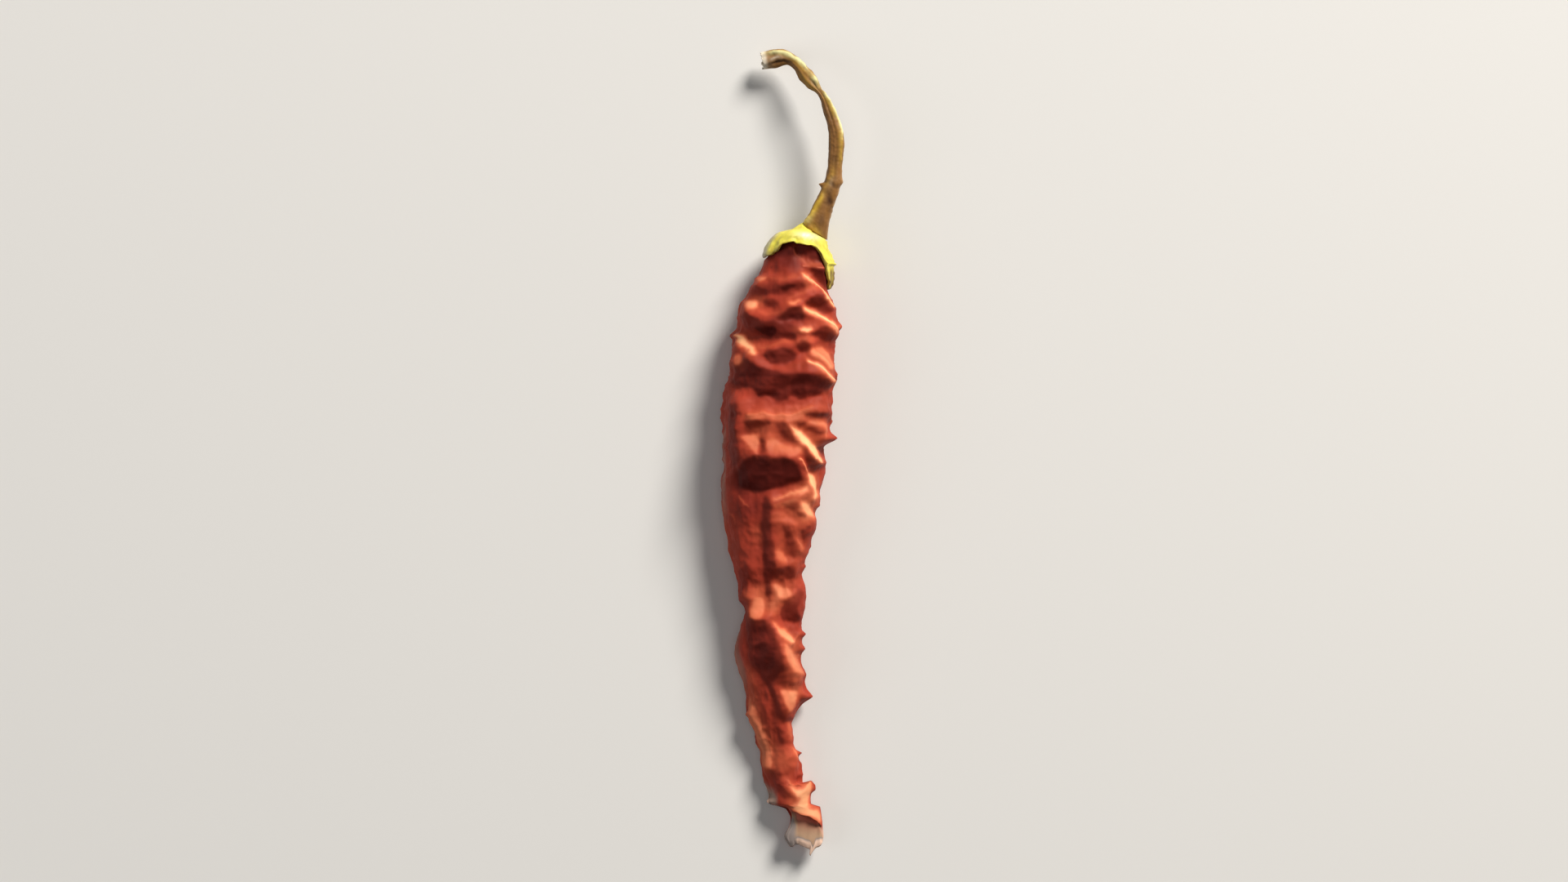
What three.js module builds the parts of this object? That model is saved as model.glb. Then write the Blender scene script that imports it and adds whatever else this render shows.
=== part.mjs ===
import * as THREE from "three";

// A dried chilli pepper lying on its flatter side: a wrinkled hollow pod, torn open at
// its tip, under a small calyx cap with a curved, flattened stem.
// Millimetres. X runs across the pod, Y from its tip towards its stem, Z up from the
// surface it lies on.

const gap = 0.3; // between pieces that touch

// Pod. Each station is [x, y, height of the middle, half width, half depth].
const podStations = [
  [4.0, 33.4, 5.0, 3.3, 2.7],
  [3.1, 31.2, 5.0, 4.0, 3.2],
  [2.3, 29.0, 4.9, 4.7, 3.6],
  [1.5, 25.5, 4.8, 6.1, 4.2],
  [0.8, 21.0, 4.7, 7.0, 4.7],
  [0.3, 16.0, 4.7, 7.8, 5.0],
  [-0.5, 9.0, 4.8, 8.1, 5.2],
  [-1.0, 2.0, 4.9, 8.2, 5.3],
  [-1.6, -5.0, 4.7, 7.2, 4.9],
  [-2.0, -12.0, 4.4, 6.3, 4.4],
  [-2.0, -19.0, 4.0, 5.2, 3.8],
  [-1.7, -24.5, 3.7, 4.5, 3.3],
  [-1.7, -30.0, 3.6, 5.1, 3.5],
  [-1.2, -36.0, 2.9, 4.6, 3.0],
  [-1.4, -42.0, 2.2, 3.2, 2.4],
  [-0.2, -48.0, 1.8, 2.7, 2.0],
  [1.5, -53.0, 1.9, 2.9, 1.9],
  [3.1, -57.5, 2.0, 2.9, 1.8],
  [3.5, -61.3, 2.0, 2.4, 1.6],
];
const podSides = 40;
const podRings = 66;
const shoulderRings = 6;
const shoulderShare = 0.035; // of the pod's length, rounded off under the calyx
const lipTravel = 0.94; // where the torn upper wall ends, as a share of the length
const tongueTravel = 1.0; // where the lower wall ends
const throatTravel = 0.9; // how far in the torn mouth reaches
const wallHeight = 0.5; // the lower wall's thickness at the torn tip
const tearDepth = 0.006; // of the ragged edge, as a share of the length
const tearCount = 7; // of its points
// The mouth inside the torn edge: [share of the full radius, share of the way in].
const mouthSteps = [
  [0.8, 0.02],
  [0.72, 0.2],
  [0.6, 0.45],
  [0.4, 0.7],
  [0, 1],
];

// Hollows that drying left on the upper side: [x, y, half width, half length, depth].
const hollows = [
  [1.0, 25.0, 3.6, 0.9, 0.7],
  [5.0, 22.4, 1.9, 1.3, 0.8],
  [-2.0, 18.5, 4.4, 1.4, 1.0],
  [0.0, 10.2, 7.2, 2.1, 1.4],
  [-1.6, -3.4, 5.4, 2.7, 1.5],
  [-2.2, -15.0, 1.0, 7.0, 0.9],
  [1.2, -24.3, 1.6, 1.7, 0.7],
  [-3.2, -30.5, 2.4, 4.8, 1.3],
  [-1.3, -39.0, 1.0, 3.2, 0.6],
];
const puckerHeight = 0.2; // of the small folds all round
const puckerPitch = 4.2; // between those folds
const puckerSway = 2; // how far those folds wander, as a turn in radians
const puckerWaves = 3; // how often they do so on the way round

// Calyx: a thin cap over the pod's shoulder, with a collar that takes the stem.
const calyxSides = 36;
const calyxRings = 12;
// How far the rim comes down the pod, as shares of the pod's length.
const calyxReach = 0.034; // underneath
const topReach = -0.012; // less than that on the upper side
const sideReach = 0.018; // more than that at the two sides
const rightReach = 0.008; // and the right side more than the left
const toothReach = 0.008; // of the five small teeth
const toothCount = 5;
const calyxThickness = 0.6;
const rimLift = 0.9; // of the rolled rim's outside, above the pod
const collarHeight = 1.9; // of the collar's flat top, above the pod
const collarTop = 0.3; // where that top ends, as a share of the way to the rim
const collarFoot = 0.6; // where the collar has run out into the cap

// Stem. Each station is [x, y, height, half width, half thickness, twist in degrees].
const stemStations = [
  [4.95, 35.6, 5.1, 2.0, 1.6, 0],
  [5.6, 37.0, 5.4, 1.65, 1.3, 0],
  [6.8, 39.4, 5.8, 1.45, 1.05, 5],
  [7.5, 41.4, 6.0, 1.5, 1.0, 10],
  [8.0, 44.0, 6.2, 1.2, 0.85, 15],
  [8.2, 47.0, 6.2, 1.1, 0.75, 20],
  [7.9, 49.8, 6.0, 1.2, 0.7, 30],
  [6.9, 52.4, 5.6, 0.95, 0.65, 45],
  [5.7, 54.9, 5.1, 0.75, 0.6, 80],
  [4.2, 56.8, 4.5, 0.85, 0.55, 140],
  [2.2, 58.9, 3.7, 0.95, 0.55, 170],
  [-0.2, 60.0, 3.0, 1.1, 0.55, 180],
  [-2.6, 59.8, 2.6, 1.35, 0.5, 185],
];
const stemSides = 14;
const stemRings = 44;
const ridgeHeight = 0.12; // of the ribs along the stem
const ridgeCount = 5;

const up = new THREE.Vector3(0, 0, 1);
const nearAxis = 1e-3;
const smallTurn = 0.01;
const smallTravel = 0.002;

const podMaterial = new THREE.MeshStandardMaterial({ color: 0x8b362a, roughness: 0.5 });
const calyxMaterial = new THREE.MeshStandardMaterial({ color: 0xd0c059, roughness: 0.65 });
const stemMaterial = new THREE.MeshStandardMaterial({ color: 0x86612a, roughness: 0.7 });

// A smooth run through a list of stations: the place, the tangent and the sizes there.
function runThrough(stations) {
  const places = stations.map(([x, y, z]) => new THREE.Vector3(x, y, z));
  const sizes = stations.map(([, , , width, depth, turn = 0]) => new THREE.Vector3(width, depth, turn));
  const path = new THREE.CatmullRomCurve3(places, false, "catmullrom", 0.5);
  const section = new THREE.CatmullRomCurve3(sizes, false, "catmullrom", 0.5);
  return (travel) => ({
    place: path.getPointAt(travel),
    tangent: path.getTangentAt(travel),
    size: section.getPoint(path.getUtoTmapping(travel)),
  });
}

// A lathe of a plain profile whose points are then put where the real surface runs.
function reshapedLathe(profile, sides, put) {
  const points = profile.map(([radius, travel]) => new THREE.Vector2(radius, travel));
  const geometry = new THREE.LatheGeometry(points, sides);
  const position = geometry.attributes.position;
  for (let index = 0; index < position.count; index += 1) {
    const point = new THREE.Vector3().fromBufferAttribute(position, index);
    const radius = Math.hypot(point.x, point.z);
    const angle = radius < nearAxis ? 0 : Math.atan2(point.x, point.z);
    const placed = put(radius, angle, point.y);
    position.setXYZ(index, placed.x, placed.y, placed.z);
  }
  geometry.computeVertexNormals();
  return geometry;
}

const podRun = runThrough(podStations);

// How deep the hollows are at a place on the upper side.
function hollowDepth(place) {
  let depth = 0;
  for (const [x, y, halfWidth, halfLength, deepest] of hollows) {
    const away = Math.hypot((place.x - x) / halfWidth, (place.y - y) / halfLength);
    depth = Math.max(depth, deepest * Math.exp(-(away ** 4)));
  }
  return depth;
}

// A place on the pod: travel along it from 0 to 1, the angle round it (0 is +X, a
// quarter turn is up), and the share of the full radius.
function podPoint(travel, angle, radius) {
  const { place, tangent, size } = podRun(THREE.MathUtils.clamp(travel, 0, 1));
  const side = new THREE.Vector3(-tangent.y, tangent.x, 0).normalize();
  const fold = Math.sin((2 * Math.PI * place.y) / puckerPitch
    + puckerSway * Math.sin(puckerWaves * angle));
  const swell = 1 + (puckerHeight * fold * radius) / size.x;
  const point = place.clone();
  point.addScaledVector(side, Math.cos(angle) * radius * size.x * swell);
  point.addScaledVector(up, Math.sin(angle) * radius * size.y * swell);
  if (Math.sin(angle) > 0) {
    point.z -= hollowDepth(point) * Math.sin(angle) * radius;
  }
  return point;
}

// The pod's outer surface at its rounded shoulder and beyond, raised by a lift.
function onPod(travel, angle, lift) {
  const surface = (t, a) => {
    const share = THREE.MathUtils.clamp(t / shoulderShare, 0, 1);
    return podPoint(t, a, Math.sqrt(1 - (1 - share) ** 2));
  };
  const along = surface(travel + smallTravel, angle).sub(surface(travel, angle));
  const round = surface(travel + smallTravel, angle + smallTurn)
    .sub(surface(travel + smallTravel, angle - smallTurn));
  const normal = new THREE.Vector3().crossVectors(round, along).normalize();
  return surface(travel, angle).addScaledVector(normal, lift);
}

function makePod() {
  const profile = [];
  for (let ring = 0; ring < shoulderRings; ring += 1) {
    const turn = (ring / shoulderRings) * (Math.PI / 2);
    profile.push([Math.sin(turn), shoulderShare * (1 - Math.cos(turn))]);
  }
  for (let ring = 0; ring <= podRings; ring += 1) {
    profile.push([1, THREE.MathUtils.lerp(shoulderShare, 1, ring / podRings)]);
  }
  // Past 1 the profile turns inwards, round the torn edge and up the mouth.
  profile.push(...mouthSteps.map(([radius, inwards]) => [radius, 1 + inwards]));
  return reshapedLathe(profile, podSides, (radius, angle, reach) => {
    const lower = 0.5 - 0.5 * Math.sin(angle);
    const tear = tearDepth * Math.sin(tearCount * angle);
    const rim = THREE.MathUtils.lerp(lipTravel, tongueTravel - tearDepth, lower) + tear;
    if (reach <= 1) {
      const share = (reach - shoulderShare) / (1 - shoulderShare);
      const travel = reach < shoulderShare ? reach : THREE.MathUtils.lerp(shoulderShare, rim, share);
      const point = podPoint(travel, angle, radius);
      point.z = Math.max(point.z, 0);
      return point;
    }
    const inwards = reach - 1;
    const point = podPoint(THREE.MathUtils.lerp(rim, throatTravel, inwards), angle, radius);
    point.z = Math.max(point.z, wallHeight);
    return point;
  });
}

// How far down the pod the calyx reaches at an angle round it.
function calyxRim(angle) {
  const across = Math.cos(angle);
  const above = Math.max(0, Math.sin(angle));
  const tooth = Math.max(0, Math.cos(toothCount * angle)) ** 3;
  return calyxReach + topReach * above + sideReach * across ** 2 + rightReach * across
    + toothReach * tooth;
}

function makeCalyx() {
  const profile = [];
  const outer = 0;
  const inner = 1;
  for (let ring = 0; ring <= calyxRings; ring += 1) {
    profile.push([ring / calyxRings, outer]);
  }
  for (let ring = calyxRings; ring >= 0; ring -= 1) {
    profile.push([ring / calyxRings, inner]);
  }
  // The lathe's height only tells the inside of the cap from its outside.
  return reshapedLathe(profile, calyxSides, (radius, angle, face) => {
    const travel = radius ** 2 * calyxRim(angle);
    if (face === inner) {
      return onPod(travel, angle, gap);
    }
    const pastCollar = THREE.MathUtils.smoothstep(radius, collarTop, collarFoot);
    const cap = THREE.MathUtils.lerp(gap + calyxThickness, rimLift, radius ** 4);
    return onPod(travel, angle, THREE.MathUtils.lerp(collarHeight, cap, pastCollar));
  });
}

function makeStem() {
  const stemRun = runThrough(stemStations);
  const profile = [[0, 0]];
  for (let ring = 0; ring <= stemRings; ring += 1) {
    profile.push([1, ring / stemRings]);
  }
  profile.push([0, 1]);
  return reshapedLathe(profile, stemSides, (radius, angle, travel) => {
    const { place, tangent, size } = stemRun(travel);
    const side = new THREE.Vector3().crossVectors(up, tangent).normalize();
    const top = new THREE.Vector3().crossVectors(tangent, side).normalize();
    const rib = 1 + ridgeHeight * Math.cos(ridgeCount * angle);
    const across = new THREE.Vector3();
    across.addScaledVector(side, Math.cos(angle) * radius * size.x * rib);
    across.addScaledVector(top, Math.sin(angle) * radius * size.y * rib);
    across.applyAxisAngle(tangent, THREE.MathUtils.degToRad(size.z));
    return place.clone().add(across);
  });
}

function piece(name, geometry, material) {
  const mesh = new THREE.Mesh(geometry, material);
  mesh.name = name;
  return mesh;
}

const pepper = new THREE.Group();
pepper.add(
  piece("pod", makePod(), podMaterial),
  piece("calyx", makeCalyx(), calyxMaterial),
  piece("stem", makeStem(), stemMaterial),
);

// The origin is under the middle of the whole pepper, on the surface it lies on.
const whole = new THREE.Box3().setFromObject(pepper, true);
const middle = whole.getCenter(new THREE.Vector3());
pepper.position.set(-middle.x, -middle.y, -whole.min.z);

export default pepper;
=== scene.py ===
from itertools import product
from math import pi

import bmesh
import bpy
import numpy as np
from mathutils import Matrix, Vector


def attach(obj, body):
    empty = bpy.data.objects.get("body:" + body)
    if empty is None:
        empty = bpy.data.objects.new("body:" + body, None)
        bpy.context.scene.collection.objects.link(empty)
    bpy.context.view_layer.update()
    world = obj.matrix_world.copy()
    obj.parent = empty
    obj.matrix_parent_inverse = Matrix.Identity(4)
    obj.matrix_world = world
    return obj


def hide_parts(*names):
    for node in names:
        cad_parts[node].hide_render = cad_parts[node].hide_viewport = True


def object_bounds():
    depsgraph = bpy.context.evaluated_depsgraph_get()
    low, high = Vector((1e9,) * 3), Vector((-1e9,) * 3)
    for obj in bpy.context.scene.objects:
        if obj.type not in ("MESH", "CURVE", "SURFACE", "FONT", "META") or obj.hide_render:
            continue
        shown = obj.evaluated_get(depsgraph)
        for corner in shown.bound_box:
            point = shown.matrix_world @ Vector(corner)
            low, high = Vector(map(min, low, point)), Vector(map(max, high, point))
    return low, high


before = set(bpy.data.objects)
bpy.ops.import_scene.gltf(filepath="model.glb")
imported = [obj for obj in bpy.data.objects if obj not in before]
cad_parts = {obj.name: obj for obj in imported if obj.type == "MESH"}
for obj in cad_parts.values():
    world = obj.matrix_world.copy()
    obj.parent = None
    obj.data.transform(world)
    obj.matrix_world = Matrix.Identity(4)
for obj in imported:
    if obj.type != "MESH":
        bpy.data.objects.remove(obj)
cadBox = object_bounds()
pepperLength = 122.64
mm = (cadBox[1].y - cadBox[0].y) / pepperLength  # the values below are in millimetres
print("frame loaded")


# Shared helpers: smooth values, noise, tubes and meshes.

noiseCells = 32  # the noise repeats after this many cells
noiseStart = 500  # keeps every place on the noise's positive side
mergeDistance = 0.004  # points nearer than this become one


def smoothRun(points, steady=True):  # a smooth value through given (place, value) pairs
    knots = np.array(sorted(points), float)
    place, value = knots[:, 0], knots[:, 1]
    slope = np.gradient(value, place)
    if steady:  # no overshoot between the pairs
        steps = np.diff(value) / np.diff(place)
        before, after = steps[:-1], steps[1:]
        same = before * after > 0
        total = np.where(same, before + after, 1)
        slope[1:-1] = np.where(same, 2 * before * after / total, 0)

    def at(where):
        k = np.clip(np.searchsorted(place, where) - 1, 0, len(place) - 2)
        span = place[k + 1] - place[k]
        t = np.clip((where - place[k]) / span, 0, 1)
        fromLow = (1 + 2 * t) * (1 - t) ** 2 * value[k] + t * (1 - t) ** 2 * span * slope[k]
        fromHigh = t * t * (3 - 2 * t) * value[k + 1] + t * t * (t - 1) * span * slope[k + 1]
        return fromLow + fromHigh
    return at


def rise(where, low, high):  # 0 below low, 1 above high, smooth between
    t = np.clip((where - low) / (high - low), 0, 1)
    return t * t * (3 - 2 * t)


def grainAt(points, scale, seed):  # smooth random values from -1 to 1, scale a millimetre
    lattice = np.random.default_rng(seed).uniform(-1, 1, (noiseCells,) * 3)
    at = points * scale + noiseStart
    low = np.floor(at).astype(int)
    share = at - low
    share = share * share * (3 - 2 * share)
    total = np.zeros(len(at))
    for corner in product((0, 1), repeat=3):
        i, j, k = ((low + corner) % noiseCells).T
        total += lattice[i, j, k] * np.prod(np.where(corner, share, 1 - share), axis=1)
    return total


def bowlsAt(points, scale, seed):  # 0 in the middle of a bowl, 1 on the crests between bowls
    crestDistance = 0.75  # from a bowl's middle, in cells
    lattice = np.random.default_rng(seed).uniform(0, 1, (noiseCells,) * 3 + (3,))
    at = points * scale + noiseStart
    low = np.floor(at).astype(int)
    nearest = np.full(len(at), np.inf)
    for corner in product((-1, 0, 1), repeat=3):
        i, j, k = ((low + corner) % noiseCells).T
        middle = low + corner + lattice[i, j, k]
        nearest = np.minimum(nearest, np.linalg.norm(at - middle, axis=1))
    return np.clip(nearest / crestDistance, 0, 1) ** 2


def lineDistance(x, y, line):  # how far every place is from a line of straight stretches
    nearest = np.full(len(x), np.inf)
    for (x0, y0), (x1, y1) in zip(line, line[1:]):
        dx, dy = x1 - x0, y1 - y0
        t = np.clip(((x - x0) * dx + (y - y0) * dy) / (dx * dx + dy * dy), 0, 1)
        nearest = np.minimum(nearest, np.hypot(x - x0 - t * dx, y - y0 - t * dy))
    return nearest


def depthInside(x, y, outline, reach):  # distance in from an outline's border, down to -reach
    xs, ys = zip(*outline)
    near = (x > min(xs) - reach) & (x < max(xs) + reach)
    near &= (y > min(ys) - reach) & (y < max(ys) + reach)
    px, py = x[near], y[near]
    closed = outline + outline[:1]
    inside = np.zeros(len(px), bool)
    for (x0, y0), (x1, y1) in zip(closed, closed[1:]):
        if y0 != y1:
            crossing = (x1 - x0) * (py - y0) / (y1 - y0) + x0
            inside ^= ((y0 > py) != (y1 > py)) & (px < crossing)
    depth = np.full(len(x), -reach)
    border = lineDistance(px, py, closed)
    depth[near] = np.where(inside, border, np.maximum(-border, -reach))
    return depth


def spunTube(rings, sides):  # an open tube round Y from y = 0 to y = 1, radius 1
    bm = bmesh.new()
    ends = [bm.verts.new((1, y, 0)) for y in (0, 1)]
    bm.edges.new(ends)
    bmesh.ops.subdivide_edges(bm, edges=bm.edges[:], cuts=rings - 1)
    bmesh.ops.spin(bm, geom=bm.verts[:] + bm.edges[:], axis=(0, 1, 0), angle=2 * pi,
                   steps=sides, use_merge=True)
    return bm


def ringAt(angle):  # places round a circle, for noise that closes on itself
    return np.stack([np.cos(angle), np.sin(angle), 0 * angle], 1)


def tubePlaces(bm):  # how far along (0 to 1) and the angle round of every point of the tube
    raw = np.array([v.co for v in bm.verts])
    return np.clip(raw[:, 1], 0, 1), np.arctan2(raw[:, 2], raw[:, 0])


def finishMesh(bm, name, points, node, material, tints):  # in place, tinted and attached to the root body
    for v, p in zip(bm.verts, points):
        v.co = Vector(p) * mm
    layer = bm.verts.layers.float_color.new("tint")
    for v, t in zip(bm.verts, tints):
        v[layer] = t
    bmesh.ops.remove_doubles(bm, verts=bm.verts[:], dist=mergeDistance * mm)
    bmesh.ops.recalc_face_normals(bm, faces=bm.faces[:])
    for face in bm.faces:
        face.smooth = True
    mesh = bpy.data.meshes.new(name)
    bm.to_mesh(mesh)
    bm.free()
    mesh.materials.append(material)
    piece = bpy.data.objects.new(name, mesh)
    bpy.context.scene.collection.objects.link(piece)
    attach(piece, "root")
    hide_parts(node)


def tintedMaterial(name, base, layers, look):  # layers: (channel of its share, of its tone, tones)
    material = bpy.data.materials.new(name)
    material.use_nodes = True
    nodes, links = material.node_tree.nodes, material.node_tree.links
    shader = nodes["Principled BSDF"]
    shader.inputs["Roughness"].default_value = look["roughness"]
    shader.inputs["Specular IOR Level"].default_value = look["specular"]
    place = nodes.new("ShaderNodeTexCoord")
    tint = nodes.new("ShaderNodeAttribute")
    tint.attribute_name = "tint"
    split = nodes.new("ShaderNodeSeparateColor")
    links.new(tint.outputs["Color"], split.inputs["Color"])
    channels = {"R": split.outputs["Red"], "G": split.outputs["Green"],
                "B": split.outputs["Blue"], "A": tint.outputs["Alpha"]}
    colour = None
    for share, tone, stops in layers:
        ramp = nodes.new("ShaderNodeValToRGB")
        setRamp(ramp, stops)
        links.new(channels[tone], ramp.inputs["Fac"])
        mix = nodes.new("ShaderNodeMix")
        mix.data_type = "RGBA"
        links.new(channels[share], mix.inputs["Factor"])
        mix.inputs["A"].default_value = (*base, 1)
        if colour:
            links.new(colour, mix.inputs["A"])
        links.new(ramp.outputs["Color"], mix.inputs["B"])
        colour = mix.outputs["Result"]
    mottle = nodes.new("ShaderNodeTexNoise")
    mottle.inputs["Scale"].default_value = look["mottleScale"]
    mottle.inputs["Detail"].default_value = 4
    links.new(place.outputs["Object"], mottle.inputs["Vector"])
    change = nodes.new("ShaderNodeMapRange")
    change.inputs["From Min"].default_value = 0.3
    change.inputs["From Max"].default_value = 0.7
    change.inputs["To Min"].default_value = 1 - look["mottle"]
    change.inputs["To Max"].default_value = 1 + look["mottle"]
    links.new(mottle.outputs["Fac"], change.inputs["Value"])
    shade = nodes.new("ShaderNodeVectorMath")
    shade.operation = "SCALE"
    links.new(colour, shade.inputs["Vector"])
    links.new(change.outputs["Result"], shade.inputs["Scale"])
    links.new(shade.outputs["Vector"], shader.inputs["Base Color"])
    grain = nodes.new("ShaderNodeTexNoise")
    grain.noise_type = "RIDGED_MULTIFRACTAL"
    grain.inputs["Scale"].default_value = look["bumpScale"]
    grain.inputs["Detail"].default_value = 3
    links.new(place.outputs["Object"], grain.inputs["Vector"])
    bump = nodes.new("ShaderNodeBump")
    bump.inputs["Strength"].default_value = look["bump"]
    bump.inputs["Distance"].default_value = 0.1 * mm
    links.new(grain.outputs["Fac"], bump.inputs["Height"])
    links.new(bump.outputs["Normal"], shader.inputs["Normal"])
    return material


def setRamp(ramp, stops):  # stops: (place, colour)
    elements = ramp.color_ramp.elements
    while len(elements) > len(stops):
        elements.remove(elements[-1])
    while len(elements) < len(stops):
        elements.new(1)
    for element, (place, colour) in zip(elements, stops):
        element.position = place
        element.color = (*colour, 1)


# The camera looks straight down on the pepper, with +Y up in its view.

cameraSet = {"height": 563.0, "lens": 85.0, "aim": (0.25, 1.68, 5.0)}


def addCamera():
    data = bpy.data.cameras.new("camera")
    data.lens = cameraSet["lens"]
    data.clip_start = 0.01
    camera = bpy.data.objects.new("camera", data)
    aim = Vector(cameraSet["aim"]) * mm
    camera.location = aim + Vector((0, 0, cameraSet["height"] * mm))
    bpy.context.scene.collection.objects.link(camera)
    bpy.context.scene.camera = camera


addCamera()
print("camera set")


# The pod.

podSet = {
    "rings": 420, "sides": 230, "mouthRings": 24,
    "squareness": 0.85,  # 1 is a plain oval section
    "wall": 0.38,
    "top": 33.4,
    "shoulder": 3.4,  # how long the rounded end under the calyx is
    "shoulderRings": 0.05,  # and its share of the rings
    "under": 0.3,  # how far the skin draws in beneath the calyx
    "ragged": 0.16,  # of the torn edge
    "throat": -50.5,  # how far up the torn mouth is open
    "scoop": 2.5,  # how far the torn lower wall turns up at its end
    "spur": (4.3, -51.3),  # the torn point on the right edge
    "spurRise": 0.9,  # how far it points back up the pod
    "steepness": 1.7,  # how steeply the folds of the upper side rise and fall
    "widestFold": 11.0,
    "blur": 0.4,  # how softly a hollow's painted shade sets in
    "puffBlur": 0.5,  # and a puff's painted light
    "shadeBlur": 1.5,  # and a broad shade's
    "halo": 1.5,  # how far its faint edge reaches beyond its outline
    "lightFrom": (0.57, 0.82),  # the way to the key light, seen from above
    "smallestFold": 0.1,
    "sideways": 0.12,  # how much the folds also fall across that way
    "loose": 0.22,  # of the folds between the hollows and puffs
    "crestHeight": 0.6,
    "shrivel": 1.1,  # depth of the bowls on the sides and underneath
    "acrossBowls": (0.2, 0.42, 0.28),  # bowls in a millimetre, on the half by the stem
    "alongBowls": (0.4, 0.13, 0.35),  # and on the half by the tip
    "bowlShade": 0.7,  # how dark the painted shade is in those bowls' middle
    "bowlLight": 0.35,  # and how pale the painted light is between them
    "swells": 0.15,
    "grain": 0.16,  # height of the finest wrinkles
    "roughness": 0.56, "specular": 0.1,
    "mottleScale": 260, "mottle": 0.14,
    "bumpScale": 700, "bump": 0.5,
    "skin": (0.355, 0.042, 0.022),
    # Painted shade for the hollows and bowls, and painted light and highlights for the puffs, crests and
    # light patches.
    "hollowShadeTones": [(0, (0.3, 0.034, 0.019)), (0.5, (0.16, 0.016, 0.011)), (1, (0.085, 0.009, 0.007))],
    "paleAndHighlightTones": [(0, (0.45, 0.066, 0.03)), (0.5, (0.68, 0.145, 0.063)), (0.8, (0.82, 0.25, 0.12)),
                  (1, (0.93, 0.5, 0.245))],
    # The inner flesh, from deep in the mouth to its dry rim; the bright red just under the lip is painted
    # light in the lip's shadow.
    "fleshTones": [(0, (0.7, 0.17, 0.11)), (0.12, (0.62, 0.17, 0.11)), (0.2, (0.36, 0.14, 0.09)),
                   (0.55, (0.43, 0.27, 0.17)), (0.75, (0.27, 0.22, 0.2)), (1, (0.85, 0.58, 0.44))],
}

# Outlines as (along the pod, across it), from under the calyx to the torn tip.
leftEdge = smoothRun([
    (33.4, -0.3), (31.2, -1.9), (29, -2.7), (27.5, -3.4), (26, -4), (25, -4.9), (23, -5.8),
    (20.8, -6.4), (18.5, -7.0), (16, -7.3), (12, -8), (10.2, -8.7), (6, -8.9), (0.8, -9.1),
    (-2, -9), (-6, -8.9), (-10, -8.4), (-14, -7.8), (-18, -7.3), (-22, -6.8), (-24, -5.9),
    (-27, -6.7), (-29, -6.9), (-32.3, -6.4), (-35.5, -5.6), (-40, -5.2), (-43.5, -4),
    (-46, -3), (-50, -2.4), (-52.5, -1.7), (-53.7, -1.5), (-54.2, 0.2), (-55, 0.75),
    (-56, 1.1), (-57, 0.9), (-58.7, 0), (-60, 0.5), (-61.5, 1.2)])
rightEdge = smoothRun([
    (33.4, 6.8), (31.2, 6.8), (29, 7.3), (27.5, 7.45), (26.5, 7.4), (24.5, 7), (22.4, 7.8),
    (21, 8.3), (18, 8.5), (13, 8), (9, 7.6), (7, 7.3), (5.8, 7.5), (4.5, 7.1), (2, 6.9), (0.5, 5.8),
    (-2, 6.3), (-7, 5.9), (-9, 4.9), (-11, 5), (-15.3, 3.8), (-16.5, 3.3), (-20, 3),
    (-28, 3.1), (-31.3, 2.8), (-34, 3.3), (-36.5, 3.3), (-38.5, 2.7), (-40, 2), (-41, 1.6),
    (-44.5, 1.6), (-46.5, 2.2), (-49, 2.7), (-50.6, 2.6), (-51.1, 4.9), (-51.7, 5.1), (-52.4, 4.4),
    (-53.8, 4.4), (-54.3, 5.9), (-57, 6.1), (-59.5, 6.1), (-61.5, 5.2)])
halfDepth = smoothRun([
    (33.4, 2.8), (29, 3.8), (25, 4.4), (16, 5.1), (5, 5.4), (-4, 5), (-14, 4.3), (-24.5, 3.3),
    (-30, 3.5), (-36, 3), (-42, 2.4), (-48, 2), (-54, 1.9), (-61.5, 1.7)])
middleHeight = smoothRun([
    (33.4, 5), (25, 4.9), (5, 5), (-4, 4.8), (-14, 4.3), (-24.5, 3.7), (-30, 3.6),
    (-36, 3), (-42, 2.3), (-48, 1.9), (-54, 2), (-61.5, 1.9)])

# Small points along the two edges: (along, how far out, half length).
rightPoints = [
    (5.9, 0.2, 0.5), (2.1, 1.3, 0.7), (-8.2, 0.5, 0.5), (-17.4, 0.3, 0.4), (-27.7, 0.7, 0.5),
    (-30, 0.8, 0.6), (-34, 0.2, 0.5), (-37.4, 0.9, 0.7), (-46, 0.8, 0.4), (-49.3, 0.3, 0.4)]
leftPoints = [
    (26.3, 0.3, 0.4), (22.8, 0.2, 0.4), (17.7, 0.6, 0.5), (10.2, 0.2, 0.5), (0.8, 0.3, 0.8),
    (-40, 0.3, 0.4), (-53.4, 0.9, 0.5)]

# Where the torn edge runs, by the angle round the pod in degrees.
tornEdge = smoothRun([
    (-180, -54.3), (-165, -56.5), (-150, -59.6), (-138, -60.2), (-125, -60.2), (-112, -59.8),
    (-85, -60.5), (-71, -60.7), (-65, -61.4), (-59, -61.5), (-53, -60.7), (-20, -60),
    (-6, -58.6), (8, -57.4), (35, -56.9), (60, -56.3), (90, -55.5), (115, -54.9), (140, -54.3),
    (165, -54), (180, -54.3)])
lipLine = smoothRun([(-3, -53.9), (0.5, -54.3), (2.3, -55.1), (4, -56.1), (6.1, -57.3)])
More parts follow.
